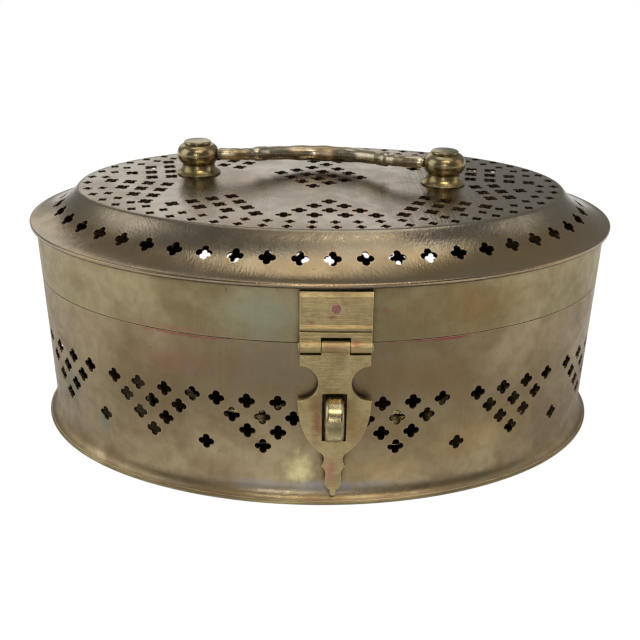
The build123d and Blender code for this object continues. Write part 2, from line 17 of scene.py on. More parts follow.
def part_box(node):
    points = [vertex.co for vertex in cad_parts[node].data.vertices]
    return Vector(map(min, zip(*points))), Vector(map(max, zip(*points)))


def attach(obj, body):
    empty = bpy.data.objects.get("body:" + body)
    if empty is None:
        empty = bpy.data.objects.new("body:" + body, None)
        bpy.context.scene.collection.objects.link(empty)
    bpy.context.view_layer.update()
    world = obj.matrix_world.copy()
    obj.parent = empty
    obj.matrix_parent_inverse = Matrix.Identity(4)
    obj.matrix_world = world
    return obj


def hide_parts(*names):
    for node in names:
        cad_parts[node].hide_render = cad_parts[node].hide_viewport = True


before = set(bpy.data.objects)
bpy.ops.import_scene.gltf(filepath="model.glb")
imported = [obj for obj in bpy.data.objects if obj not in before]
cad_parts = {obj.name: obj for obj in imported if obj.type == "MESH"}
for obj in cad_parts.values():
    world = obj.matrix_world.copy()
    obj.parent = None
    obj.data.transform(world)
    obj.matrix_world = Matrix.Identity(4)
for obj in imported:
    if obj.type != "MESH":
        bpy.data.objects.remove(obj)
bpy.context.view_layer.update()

MM = 0.001
log = logging.getLogger("spice_box")

Colour = tuple[float, float, float]
Triple = tuple[float, float, float]
Feed = Union[float, Sequence[float], bpy.types.NodeSocket]


class Body(Enum):
    """The CAD bodies that pieces ride on."""

    BASE = "base"
    LID = "lid"
    HASP = "hasp"
    HANDLE = "handle"
    SPOON = "spoon"


class Slot(Enum):
    """The record's material slots."""

    WALL = "sheet_wall"
    LID = "sheet_lid"
    HASP = "cast_hasp"
    HANDLE = "cast_handle"
    HINGE = "hinge_brass"
    RIVET = "rivet_brass"
    PIN = "pin_brass"
    CUP = "cup_brass"


# ---------------------------------------------------------------- shader wiring
class Wires:
    """Adds nodes to one node tree and joins their sockets."""

    def __init__(self, tree: bpy.types.NodeTree) -> None:
        """Takes the tree that the nodes go in."""
        self.tree = tree

    def add(self, kind: str, **settings: object) -> bpy.types.Node:
        """Adds one node.

        Args:
            kind: the node's type, without its ShaderNode prefix.
            settings: properties to set on it.

        Returns:
            The new node.
        """
        node = self.tree.nodes.new(kind if kind.startswith("Node") else f"ShaderNode{kind}")
        for name, value in settings.items():
            setattr(node, name, value)
        return node

    def feed(self, socket: bpy.types.NodeSocket, value: Feed) -> None:
        """Sets an input socket to a value, or links another socket to it."""
        if isinstance(value, bpy.types.NodeSocket):
            self.tree.links.new(value, socket)
        elif socket.type == "RGBA" and len(value) == 3:
            socket.default_value = (*value, 1.0)
        else:
            socket.default_value = value

    def math(
        self, operation: str, first: Feed, second: Feed = 0.0, clamp: bool = False
    ) -> bpy.types.NodeSocket:
        """One Math node.

        Args:
            operation: the node's operation.
            first: first number or socket.
            second: second number or socket.
            clamp: keeps the result between 0 and 1.

        Returns:
            The result's socket.
        """
        node = self.add("Math", operation=operation, use_clamp=clamp)
        self.feed(node.inputs[0], first)
        self.feed(node.inputs[1], second)
        return node.outputs[0]

    def vector(self, operation: str, first: Feed, second: Feed = (0.0, 0.0, 0.0)) -> bpy.types.Node:
        """One Vector Math node; its Vector and Value outputs are read by name."""
        node = self.add("VectorMath", operation=operation)
        self.feed(node.inputs[0], first)
        self.feed(node.inputs[1], second)
        return node

    def mix(self, share: Feed, first: Feed, second: Feed, blend: str = "MIX") -> bpy.types.NodeSocket:
        """Mixes two colours.

        Args:
            share: how much of the second colour shows.
            first: the colour underneath.
            second: the colour on top.
            blend: the blend type.

        Returns:
            The mixed colour's socket.
        """
        node = self.add("Mix", data_type="RGBA", blend_type=blend, clamp_factor=True)
        self.feed(node.inputs[0], share)
        self.feed(node.inputs[6], first)
        self.feed(node.inputs[7], second)
        return node.outputs[2]

    def ramp(
        self, value: Feed, low: Feed, high: Feed, out_low: Feed = 0.0, out_high: Feed = 1.0
    ) -> bpy.types.NodeSocket:
        """A smooth step from one range of values to another.

        Args:
            value: what is mapped.
            low: the value that gives out_low.
            high: the value that gives out_high.
            out_low: the result at low.
            out_high: the result at high.

        Returns:
            The mapped value's socket.
        """
        node = self.add("MapRange", interpolation_type="SMOOTHSTEP")
        for socket, number in zip(node.inputs[:5], (value, low, high, out_low, out_high)):
            self.feed(socket, number)
        return node.outputs[0]

    def noise(
        self, vector: Feed, scale: Feed, detail: float = 4.0, distortion: float = 0.0
    ) -> bpy.types.NodeSocket:
        """A noise texture's value, about 0.25 to 0.75."""
        node = self.add("TexNoise")
        self.feed(node.inputs["Vector"], vector)
        self.feed(node.inputs["Scale"], scale)
        node.inputs["Detail"].default_value = detail
        node.inputs["Distortion"].default_value = distortion
        return node.outputs[0]


class NodeLibrary:
    """The shader node groups that the finishes share, each built once."""

    def __init__(self) -> None:
        """Builds every group."""
        self.patina = self._patina()
        self.brushing = self._brushing()
        self.edges = self._edges()
        self.stain_or_light_mask = self._stain_or_light_mask()

    def _group(
        self, name: str, inputs: dict[str, object], outputs: Sequence[str]
    ) -> tuple[bpy.types.NodeTree, Wires, bpy.types.Node, bpy.types.Node]:
        """Starts a group.

        Args:
            name: the group's name.
            inputs: each input's name and default; a default of three numbers makes a vector.
            outputs: names of the outputs, which are all plain values.

        Returns:
            The tree, its wires, and its input and output nodes.
        """
        tree = bpy.data.node_groups.new(name, "ShaderNodeTree")
        for title, default in inputs.items():
            kind = "NodeSocketVector" if isinstance(default, tuple) else "NodeSocketFloat"
            socket = tree.interface.new_socket(name=title, in_out="INPUT", socket_type=kind)
            socket.default_value = default
        for title in outputs:
            tree.interface.new_socket(name=title, in_out="OUTPUT", socket_type="NodeSocketFloat")
        wires = Wires(tree)
        return tree, wires, wires.add("NodeGroupInput"), wires.add("NodeGroupOutput")

    def _patina(self) -> bpy.types.NodeTree:
        """Cloudy tarnish in three sizes: broad clouds, mottling and small dark specks."""
        tree, wires, given, made = self._group(
            "tarnish_clouds", {"Vector": (0.0, 0.0, 0.0), "Scale": 30.0}, ("Cloud", "Mottle", "Speck")
        )
        place, scale = given.outputs["Vector"], given.outputs["Scale"]
        cloud = wires.noise(place, scale, 5.0, 0.7)
        mottle = wires.noise(place, wires.math("MULTIPLY", scale, 7.0), 6.0, 0.4)
        speck = wires.noise(place, wires.math("MULTIPLY", scale, 21.0), 3.0)
        wires.feed(made.inputs["Cloud"], wires.ramp(cloud, 0.36, 0.64))
        wires.feed(made.inputs["Mottle"], wires.ramp(mottle, 0.36, 0.66))
        wires.feed(made.inputs["Speck"], wires.ramp(speck, 0.66, 0.76))
        return tree

    def _brushing(self) -> bpy.types.NodeTree:
        """Fine lines left by filing and polishing, drawn out along the axis with the small stretch."""
        tree, wires, given, made = self._group(
            "brush_lines", {"Vector": (0.0, 0.0, 0.0), "Stretch": (1.0, 1.0, 1.0)}, ("Height", "Scratch")
        )
        place = wires.vector("MULTIPLY", given.outputs["Vector"], given.outputs["Stretch"]).outputs["Vector"]
        lines = wires.noise(place, 1.0, 3.0)
        coarse = wires.noise(place, 0.37, 2.0, 0.2)
        wires.feed(made.inputs["Height"], wires.ramp(lines, 0.3, 0.7))
        wires.feed(made.inputs["Scratch"], wires.ramp(coarse, 0.6, 0.7))
        return tree

    def _edges(self) -> bpy.types.NodeTree:
        """Masks of rubbed edges, and of recesses found by ambient occlusion for painted shade."""
        tree, wires, given, made = self._group(
            "rubbed_edges_and_recess_shade", {"Edge Radius": 0.0004, "Recess Reach": 0.004}, ("Edge", "Recess")
        )
        rounded = wires.add("Bevel", samples=6)
        wires.feed(rounded.inputs["Radius"], given.outputs["Edge Radius"])
        true_normal = wires.add("NewGeometry").outputs["Normal"]
        agreement = wires.vector("DOT_PRODUCT", rounded.outputs[0], true_normal).outputs["Value"]
        wires.feed(made.inputs["Edge"], wires.ramp(agreement, 0.995, 0.86))
        shade = wires.add("AmbientOcclusion", samples=6)
        wires.feed(shade.inputs["Distance"], given.outputs["Recess Reach"])
        wires.feed(made.inputs["Recess"], wires.ramp(shade.outputs["AO"], 0.85, 0.25))
        return tree

    def _stain_or_light_mask(self) -> bpy.types.NodeTree:
        """A ragged spot with a centre and a half size along each axis."""
        tree, wires, given, made = self._group(
            "ragged_stain_or_light",
            {
                "Vector": (0.0, 0.0, 0.0), "Centre": (0.0, 0.0, 0.0), "Half Size": (0.01, 0.01, 0.01),
                "Grain": 400.0, "Softness": 0.5,
            },
            ("Mask",),
        )
        place = given.outputs["Vector"]
        offset = wires.vector("SUBTRACT", place, given.outputs["Centre"]).outputs["Vector"]
        scaled = wires.vector("DIVIDE", offset, given.outputs["Half Size"]).outputs["Vector"]
        distance = wires.vector("LENGTH", scaled).outputs["Value"]
        ragged = wires.math("MULTIPLY", wires.noise(place, given.outputs["Grain"], 5.0, 0.5), 1.3)
        outer = wires.math("ADD", given.outputs["Softness"], 1.15)
        inner = wires.math("SUBTRACT", 1.15, given.outputs["Softness"])
        wires.feed(made.inputs["Mask"], wires.ramp(wires.math("ADD", distance, ragged), outer, inner))
        return tree


# ---------------------------------------------------------------- finishes
@dataclass(frozen=True)
class StainOrLightPatch:
    """One ragged patch of another colour, in the CAD frame: a stain, or a painted highlight, shadow or
    reflection.

    Attributes:
        centre: its middle, in millimetres.
        half_size: its half size along each axis, in millimetres.
        colour: its colour.
        strength: how much it covers, 0 to 1.
        grain: how fine its ragged edge is, per metre.
        softness: how gently it fades out, from 0.1 (hard) to 1.
    """

    centre: Triple
    half_size: Triple
    colour: Colour
    strength: float = 0.6
    grain: float = 350.0
    softness: float = 0.6


PINK = (0.36, 0.085, 0.10)
ROSE = (0.40, 0.17, 0.13)
VERDIGRIS = (0.20, 0.27, 0.22)
STRAW = (0.82, 0.74, 0.36)
# Bluish colour of a painted reflection band above the foot.
FOOT_SHEEN_BLUE = (0.30, 0.33, 0.40)
GOLD = (0.62, 0.42, 0.15)
GREEN_GREY = (0.40, 0.43, 0.29)
RUSSET = (0.34, 0.20, 0.08)
BRONZE = (0.36, 0.255, 0.12)
# Soot black: the colour of the dark specks, and also of painted shade in recesses and of a painted shadow
# under the bail.
SOOT_AND_SHADE = (0.022, 0.018, 0.013)
# Painted shade colour, laid inside the box and on faces that look down.
PAINTED_INNER_SHADE = (0.085, 0.065, 0.04)


@dataclass(frozen=True)
class BrassFinish:
    """Aged brass, from its clean colour to its tarnish, marks and stains, with some painted shade, shadow,
    highlight and reflection in its colour.

    Attributes:
        name: the material's name.
        clean: colour of the metal between the clouds.
        tarnish: colour of the broad clouds.
        deep: colour of the mottling and specks.
        edge: colour where an edge is rubbed bright.
        roughness: roughness of clean metal and of tarnish.
        cloud_scale: clouds per metre, about.
        stretch: noise cells per metre along each axis for the brush lines.
        brush_depth: how strongly the brush lines stand out.
        dent_depth: how strongly the sheet's shallow dents stand out.
        edge_radius: width of the rubbed edges, in metres.
        edge_share: how bright the rubbed edges are.
        mottle_share: how much the mottling shows.
        scratch_share: how much the bright scratches show.
        speck_share: how much the dark specks show.
        inside: half length and half width, in millimetres, of the oval inside which the sheet is darkened
            with painted shade.
        shaded_underside: paints shade on every face that looks down.
        rim_pink: how much pink polish is left beside the edges.
        stains_and_painted_light: patches of other colours, some of them stains and some painted highlights,
            shadows and reflections.
    """

    name: str
    clean: Colour
    tarnish: Colour
    deep: Colour
    edge: Colour = (0.80, 0.66, 0.40)
    roughness: tuple[float, float] = (0.30, 0.48)
    cloud_scale: float = 26.0
    stretch: Triple = (120.0, 120.0, 1500.0)
    brush_depth: float = 0.12
    dent_depth: float = 0.25
    edge_radius: float = 0.0004
    edge_share: float = 0.7
    mottle_share: float = 0.26
    scratch_share: float = 0.05
    speck_share: float = 0.3
    inside: tuple[float, float] = (0.0, 0.0)
    shaded_underside: bool = False
    rim_pink: float = 0.0
    stains_and_painted_light: tuple[StainOrLightPatch, ...] = ()

    def material(self, library: NodeLibrary) -> bpy.types.Material:
        """Builds the material.

        Args:
            library: the shared node groups.

        Returns:
            The finished material.
        """
        made = bpy.data.materials.new(self.name)
        made.use_nodes = True
        made.node_tree.nodes.clear()
        wires = Wires(made.node_tree)
        place = wires.add("TexCoord").outputs["Object"]

        clouds = wires.add("Group", node_tree=library.patina)
        wires.feed(clouds.inputs["Vector"], place)
        clouds.inputs["Scale"].default_value = self.cloud_scale
        brush = wires.add("Group", node_tree=library.brushing)
        wires.feed(brush.inputs["Vector"], place)
        brush.inputs["Stretch"].default_value = self.stretch
        edges = wires.add("Group", node_tree=library.edges)
        edges.inputs["Edge Radius"].default_value = self.edge_radius
        edge, painted_recess_shade = edges.outputs["Edge"], edges.outputs["Recess"]
        cloud, mottle = clouds.outputs["Cloud"], clouds.outputs["Mottle"]

        colour = wires.mix(cloud, self.clean, self.tarnish)
        colour = wires.mix(wires.math("MULTIPLY", mottle, self.mottle_share), colour, self.deep)
        scratched = wires.math("MULTIPLY", brush.outputs["Scratch"], self.scratch_share)
        colour = wires.mix(scratched, colour, self.edge)
        # Stains, with a painted highlight, a painted shadow and a painted reflection among them.
        for spot in self.stains_and_painted_light:
            colour = self._laid_patch(wires, library, place, colour, spot)
        specked = wires.math("MULTIPLY", clouds.outputs["Speck"], self.speck_share)
        colour = wires.mix(specked, colour, SOOT_AND_SHADE)
        if self.rim_pink:
            wide = wires.add("Group", node_tree=library.edges)
            wide.inputs["Edge Radius"].default_value = 3.0 * self.edge_radius
            left_over = wires.math("MULTIPLY", cloud, self.rim_pink)
            patchy = wires.math("MULTIPLY", wide.outputs["Edge"], left_over)
            colour = wires.mix(patchy, colour, ROSE)
        # Painted shade: the sheet inside the oval, on the box's inside, is darkened.
        if self.inside[0]:
            half = (MM * self.inside[0], MM * self.inside[1], 1000.0)
            shape = wires.vector("DIVIDE", place, half).outputs["Vector"]
            reach = wires.vector("LENGTH", shape).outputs["Value"]
            colour = wires.mix(wires.ramp(reach, 1.0005, 0.9995), colour, PAINTED_INNER_SHADE)
        # Painted shade: faces that look down are darkened.
        if self.shaded_underside:
            facing = wires.add("SeparateXYZ")
            wires.feed(facing.inputs[0], wires.add("NewGeometry").outputs["True Normal"])
            colour = wires.mix(wires.ramp(facing.outputs[2], -0.02, -0.2), colour, PAINTED_INNER_SHADE)
        # Painted shade: recesses found by ambient occlusion are darkened towards soot black.
        colour = wires.mix(wires.math("MULTIPLY", painted_recess_shade, 0.85), colour, SOOT_AND_SHADE)
        rubbed = wires.math("MULTIPLY", edge, wires.math("MULTIPLY_ADD", mottle, self.edge_share))
        colour = wires.mix(rubbed, colour, self.edge)

        low, high = self.roughness
        dulled = wires.math("ADD", wires.math("MULTIPLY", cloud, 0.6), wires.math("MULTIPLY", mottle, 0.4))
        rough = wires.ramp(dulled, 0.0, 1.0, low, high)
        rough = wires.math("ADD", rough, wires.math("MULTIPLY", painted_recess_shade, 0.25), clamp=True)

        dents = wires.noise(place, 22.0, 2.0, 0.3)
        dented = wires.add("Bump")
        dented.inputs["Strength"].default_value = self.dent_depth
        dented.inputs["Distance"].default_value = 0.002
        wires.feed(dented.inputs["Height"], dents)
        brushed = wires.add("Bump")
        brushed.inputs["Strength"].default_value = self.brush_depth
        brushed.inputs["Distance"].default_value = 0.0004
        height = wires.math("ADD", brush.outputs["Height"], wires.math("MULTIPLY", mottle, -0.12))
        wires.feed(brushed.inputs["Height"], height)
        wires.feed(brushed.inputs["Normal"], dented.outputs[0])

        shader = wires.add("BsdfPrincipled")
        shader.inputs["Metallic"].default_value = 1.0
        wires.feed(shader.inputs["Base Color"], colour)
        wires.feed(shader.inputs["Roughness"], rough)
        wires.feed(shader.inputs["Normal"], brushed.outputs[0])
        wires.feed(wires.add("OutputMaterial").inputs["Surface"], shader.outputs[0])
        return made

    @staticmethod
    def _laid_patch(
        wires: Wires,
        library: NodeLibrary,
        place: bpy.types.NodeSocket,
        colour: bpy.types.NodeSocket,
        spot: StainOrLightPatch,
    ) -> bpy.types.NodeSocket:
        """Lays one stain or painted light patch over a colour and returns the new colour's socket."""
        node = wires.add("Group", node_tree=library.stain_or_light_mask)
        wires.feed(node.inputs["Vector"], place)
        node.inputs["Centre"].default_value = [MM * value for value in spot.centre]
        node.inputs["Half Size"].default_value = [MM * value for value in spot.half_size]
        node.inputs["Grain"].default_value = spot.grain
        node.inputs["Softness"].default_value = spot.softness
        return wires.mix(wires.math("MULTIPLY", node.outputs["Mask"], spot.strength), colour, spot.colour)


WALL_FINISH = BrassFinish(
    name="aged_sheet_wall",
    clean=(0.43, 0.34, 0.205),
    tarnish=(0.30, 0.225, 0.125),
    deep=(0.22, 0.15, 0.07),
    roughness=(0.28, 0.44),
    stretch=(1800.0, 1800.0, 90.0),
    # Painted shade on the wall's inside.
    inside=(131.8, 89.8),
    rim_pink=0.4,
    stains_and_painted_light=(
        StainOrLightPatch((-9.0, -90.0, 15.0), (7.0, 9.0, 11.0), STRAW, 0.85, 260.0),
        # Painted reflection: a bluish sheen band just above the foot.
        StainOrLightPatch((0.0, -94.0, 7.0), (150.0, 12.0, 3.4), FOOT_SHEEN_BLUE, 0.55, 60.0),
        StainOrLightPatch((-112.0, -48.0, 33.0), (7.0, 8.0, 10.0), VERDIGRIS, 0.7, 500.0),
        StainOrLightPatch((-96.0, -62.0, 22.0), (5.0, 6.0, 7.0), VERDIGRIS, 0.7, 500.0),
        StainOrLightPatch((50.0, -85.0, 73.9), (40.0, 10.0, 1.5), PINK, 0.95, 200.0, 0.3),
        StainOrLightPatch((-56.0, -82.0, 73.9), (46.0, 12.0, 1.2), PINK, 0.8, 200.0, 0.4),
        StainOrLightPatch((-60.0, -80.0, 62.0), (46.0, 14.0, 9.0), ROSE, 0.35, 60.0),
        StainOrLightPatch((50.0, -84.0, 56.0), (46.0, 12.0, 16.0), RUSSET, 0.5, 45.0),
        StainOrLightPatch((70.0, -76.0, 25.0), (60.0, 16.0, 15.0), GOLD, 0.28, 45.0),
        StainOrLightPatch((28.0, -90.0, 14.0), (30.0, 9.0, 9.0), GOLD, 0.25, 90.0),
    ),
)
BAND_FINISH = BrassFinish(
    name="aged_sheet_band",
    clean=(0.42, 0.35, 0.20),
    tarnish=(0.31, 0.25, 0.13),
    deep=(0.24, 0.16, 0.07),
    roughness=(0.34, 0.50),
    stretch=(1800.0, 1800.0, 90.0),
    # Painted shade on the band's inside.
    inside=(131.8, 89.8),
    stains_and_painted_light=(
        StainOrLightPatch((-22.0, -89.0, 86.0), (26.0, 9.0, 16.0), GREEN_GREY, 0.75, 70.0),
        StainOrLightPatch((62.0, -80.0, 86.0), (50.0, 18.0, 16.0), RUSSET, 0.55, 45.0),
        StainOrLightPatch((24.0, -90.0, 88.0), (2.0, 3.0, 2.6), PINK, 0.8, 500.0),
        StainOrLightPatch((-60.0, -80.0, 76.0), (40.0, 12.0, 2.2), ROSE, 0.5, 200.0),
    ),
)
LID_FINISH = BrassFinish(
    name="satin_lid_sheet",
    clean=(0.38, 0.325, 0.245),
    tarnish=(0.31, 0.26, 0.185),
    deep=(0.21, 0.155, 0.095),
    edge_radius=0.0006,
    roughness=(0.18, 0.30),
    cloud_scale=18.0,
    stretch=(1200.0, 40.0, 1200.0),
    brush_depth=0.08,
    dent_depth=0.12,
    shaded_underside=True,
    rim_pink=0.8,
    stains_and_painted_light=(
        StainOrLightPatch((0.0, 0.0, 102.5), (500.0, 500.0, 7.5), BRONZE, 0.75, 45.0, 0.5),
        # Painted highlight: a gold sheen on the lid's right-front shoulder.
        StainOrLightPatch((60.0, -62.0, 104.0), (70.0, 24.0, 8.0), GOLD, 0.3, 60.0, 0.9),
        StainOrLightPatch((-33.0, 1.0, 113.7), (16.0, 20.0, 6.0), RUSSET, 0.45, 60.0, 0.9),
        StainOrLightPatch((30.0, -6.0, 113.7), (14.0, 18.0, 6.0), RUSSET, 0.45, 60.0, 0.9),
        # Painted shadow: the bail's bow shades the plateau under and behind it.
        StainOrLightPatch((0.0, 34.0, 113.7), (48.0, 7.0, 6.0), SOOT_AND_SHADE, 0.25, 60.0, 0.9),
    ),
)
FOOT_FINISH = BrassFinish(
    name="rolled_foot_sheet",
    clean=(0.46, 0.36, 0.17),
    tarnish=(0.30, 0.24, 0.13),
    deep=(0.20, 0.15, 0.08),
    stretch=(300.0, 300.0, 900.0),
)
HASP_FINISH = BrassFinish(
    name="filed_cast_hasp",
    clean=(0.52, 0.41, 0.20),
    tarnish=(0.39, 0.30, 0.14),
    deep=(0.30, 0.19, 0.09),
    edge=(0.95, 0.80, 0.50),
    roughness=(0.30, 0.42),
    cloud_scale=60.0,
    stretch=(120.0, 120.0, 2600.0),
    brush_depth=0.35,
    dent_depth=0.1,
    edge_radius=0.0005,
    edge_share=0.9,
    stains_and_painted_light=(
        StainOrLightPatch((3.8, -94.0, 86.6), (4.2, 6.0, 1.0), PINK, 0.75, 500.0),
        StainOrLightPatch((-4.5, -94.0, 84.0), (1.6, 6.0, 1.2), PINK, 0.6, 700.0),
        StainOrLightPatch((12.6, -95.0, 76.4), (2.6, 6.0, 2.0), PINK, 0.7, 500.0),
        StainOrLightPatch((4.8, -95.0, 74.0), (6.0, 6.0, 3.6), ROSE, 0.45, 300.0),
        StainOrLightPatch((-2.2, -94.0, 40.0), (3.4, 6.0, 14.0), (0.30, 0.10, 0.08), 0.75, 300.0),
        StainOrLightPatch((3.5, -94.0, 17.0), (4.4, 6.0, 8.0), ROSE, 0.75, 300.0),
        StainOrLightPatch((12.5, -94.0, 40.0), (4.6, 6.0, 13.0), RUSSET, 0.75, 300.0),
    ),
)
STAPLE_FINISH = BrassFinish(
    name="worn_staple",
    clean=(0.52, 0.44, 0.26),
    tarnish=(0.36, 0.29, 0.15),
    deep=(0.26, 0.19, 0.09),
    edge=(0.90, 0.78, 0.52),
    roughness=(0.22, 0.36),
    cloud_scale=110.0,
    stretch=(1800.0, 200.0, 200.0),
    dent_depth=0.1,
    edge_share=0.8,
    stains_and_painted_light=(StainOrLightPatch((4.6, -101.0, 36.0), (2.2, 3.0, 2.2), (0.24, 0.26, 0.10), 0.8, 700.0),),
)
POST_FINISH = BrassFinish(
    name="turned_posts",
    clean=(0.38, 0.32, 0.17),
    tarnish=(0.27, 0.22, 0.11),
    deep=(0.17, 0.125, 0.06),
    edge=(0.72, 0.58, 0.32),
    roughness=(0.20, 0.32),
    cloud_scale=60.0,
    stretch=(90.0, 90.0, 2200.0),
    brush_depth=0.05,
    dent_depth=0.05,
    edge_share=0.35,
    mottle_share=0.12,
    speck_share=0.1,
    edge_radius=0.0006,
    stains_and_painted_light=(
        StainOrLightPatch((61.0, -7.0, 122.0), (6.0, 9.0, 8.0), (0.50, 0.28, 0.12), 0.5, 200.0),
        StainOrLightPatch((-53.5, 9.0, 123.0), (4.0, 8.0, 8.0), (0.50, 0.28, 0.12), 0.5, 200.0),
        StainOrLightPatch((-58.9, 14.1, 115.0), (12.0, 12.0, 3.0), GOLD, 0.75, 300.0),
        StainOrLightPatch((56.7, -0.7, 115.0), (12.0, 12.0, 3.0), GOLD, 0.75, 300.0),
    ),
)
BAIL_FINISH = BrassFinish(
    name="cast_bail",
    clean=(0.52, 0.46, 0.33),
    tarnish=(0.34, 0.26, 0.15),
    deep=(0.26, 0.17, 0.10),
    edge=(0.80, 0.70, 0.50),
    roughness=(0.24, 0.38),
    cloud_scale=75.0,
    stretch=(160.0, 160.0, 160.0),
    brush_depth=0.05,
    dent_depth=0.2,
    edge_share=0.3,
    mottle_share=0.16,
    speck_share=0.1,
    edge_radius=0.0006,
)
HINGE_FINISH = BrassFinish(
    name="sheet_hinge",
    clean=(0.46, 0.37, 0.20),
    tarnish=(0.33, 0.26, 0.14),
    deep=(0.24, 0.17, 0.08),
    cloud_scale=60.0,
    stretch=(2200.0, 100.0, 100.0),
    brush_depth=0.3,
)
RIVET_FINISH = BrassFinish(
    name="peened_rivets",
    clean=(0.52, 0.34, 0.24),
    tarnish=(0.42, 0.20, 0.17),
    deep=(0.34, 0.10, 0.10),
    roughness=(0.28, 0.44),
    cloud_scale=260.0,
    stretch=(700.0, 700.0, 700.0),
    brush_depth=0.4,
)
PIN_FINISH = BrassFinish(
    name="drawn_pins",
    clean=(0.55, 0.45, 0.25),
    tarnish=(0.36, 0.28, 0.15),
    deep=(0.24, 0.17, 0.08),
    cloud_scale=200.0,
    stretch=(60.0, 2000.0, 2000.0),
)
CUP_FINISH = BrassFinish(
    name="spun_cups",
    clean=(0.44, 0.34, 0.16),
    tarnish=(0.32, 0.24, 0.11),
    deep=(0.20, 0.14, 0.06),
    edge=(0.92, 0.80, 0.52),
    roughness=(0.20, 0.34),
    cloud_scale=45.0,
    stretch=(60.0, 60.0, 2600.0),
    brush_depth=0.15,
    dent_depth=0.08,
)


# ---------------------------------------------------------------- mesh work
class Bench:
    """Makes pieces, shades them and puts them on their bodies."""

    def __init__(self) -> None:
        """Builds the shared node groups."""
        self.library = NodeLibrary()
        self._materials: dict[str, bpy.types.Material] = {}

    def finish_material(self, finish: BrassFinish) -> bpy.types.Material:
        """Returns a finish's material, built the first time that it is asked for."""
        if finish.name not in self._materials:
            self._materials[finish.name] = finish.material(self.library)
        return self._materials[finish.name]

    @staticmethod
    def piece_from(form: bmesh.types.BMesh, name: str, crease: float = 32.0) -> bpy.types.Object:
        """Turns a bmesh into an object that is shaded smooth, with its creases kept sharp.

        Args:
            form: the finished bmesh, which is freed.
            name: the piece's name.
            crease: edges that turn by more than this many degrees stay sharp.

        Returns:
            The new object, linked to the scene.
        """
        for face in form.faces:
            face.smooth = True
        for edge in form.edges:
            edge.smooth = len(edge.link_faces) == 2 and edge.calc_face_angle(0.0) < math.radians(crease)
        mesh = bpy.data.meshes.new(name)
        form.to_mesh(mesh)
        form.free()
        piece = bpy.data.objects.new(name, mesh)
        bpy.context.scene.collection.objects.link(piece)
        return piece

    def cleaned(self, node: str, name: str, crease: float = 32.0, flatten: bool = False) -> bpy.types.Object:
        """Copies a CAD node, joins its loose triangles and shades the copy.

        Args:
            node: the CAD node.
            name: the new piece's name.
            crease: edges that turn by more degrees than this stay sharp.
            flatten: joins each flat face's triangles, for a later bevel.

        Returns:
            The new piece.
        """
        form = bmesh.new()
        form.from_mesh(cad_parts[node].data)
        bmesh.ops.remove_doubles(form, verts=form.verts, dist=0.002 * MM)
        if flatten:
            bmesh.ops.dissolve_limit(form, angle_limit=math.radians(0.6), verts=form.verts, edges=form.edges)
        return self.piece_from(form, name, crease)

    @staticmethod
    def spun(profile: Sequence[tuple[float, float]], name: str, steps: int = 72) -> bmesh.types.BMesh:
        """Turns a profile about the Z axis, as on a lathe.

        Args:
            profile: radius and height of each point, in millimetres, from the axis round to the axis.
            name: the piece's name, for the log.
            steps: facets round the axis.

        Returns:
            The closed bmesh, centred on the Z axis.
        """
        form = bmesh.new()
        points = [form.verts.new((radius * MM, 0.0, height * MM)) for radius, height in profile]
        for first, second in zip(points, points[1:]):
            form.edges.new((first, second))
        bmesh.ops.spin(
            form, geom=form.verts[:] + form.edges[:], cent=(0, 0, 0), axis=(0, 0, 1), dvec=(0, 0, 0),
            angle=math.tau, steps=steps, use_merge=True, use_normal_flip=False, use_duplicate=False,
        )
        bmesh.ops.remove_doubles(form, verts=form.verts, dist=0.002 * MM)
        bmesh.ops.recalc_face_normals(form, faces=form.faces)
        log.debug("%s: %d faces turned", name, len(form.faces))
        return form

    @staticmethod
    def rounded_edges(piece: bpy.types.Object, width: float, segments: int = 3, above: float = 35.0) -> None:
        """Gives a piece's sharp edges a small round.

        Args:
            piece: the piece.
            width: width of the round, in millimetres.
            segments: facets in it.
            above: edges that turn by more than this many degrees are rounded.
        """
        bevel = piece.modifiers.new("edge_round", "BEVEL")
        bevel.width = width * MM
        bevel.segments = segments
        bevel.limit_method = "ANGLE"
        bevel.angle_limit = math.radians(above)
        bevel.harden_normals = True

    def seat(
        self, piece: bpy.types.Object, finish: BrassFinish, slot: Slot, body: str, *nodes: str
    ) -> bpy.types.Object:
        """Dresses a piece and puts it in the place of its CAD nodes.

        Args:
            piece: the piece, in place in the CAD frame.
            finish: its finish.
            slot: the record's material slot; not used.
            body: the CAD body that it rides on.
            nodes: the CAD nodes that it stands for.

        Returns:
            The same piece.
        """
        piece.data.materials.clear()
        piece.data.materials.append(self.finish_material(finish))
        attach(piece, body)
        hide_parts(*nodes)
        log.info("%s rides on %s", piece.name, body)
        return piece


# ---------------------------------------------------------------- sub-assemblies
@dataclass
class PiercedBase:
    """The oval base: pierced wall, floor, the collar that locates the lid, and the staple's inside plate."""

    bench: Bench
    crease: float = 38.0

    def build(self) -> None:
        """Builds every piece of the base."""
        for node, name, finish in (
            ("base_wall", "pierced_wall", WALL_FINISH),
            ("base_floor", "floor_plate", FOOT_FINISH),
            ("seam_collar", "locating_collar", FOOT_FINISH),
        ):
            piece = self.bench.cleaned(node, name, self.crease)
            self.bench.seat(piece, finish, Slot.WALL, Body.BASE.value, node)
        washer = self.bench.cleaned("staple_washer", "staple_plate", flatten=True)
        self.bench.rounded_edges(washer, 0.15, 2)
        self.bench.seat(washer, RIVET_FINISH, Slot.RIVET, Body.BASE.value, "staple_washer")


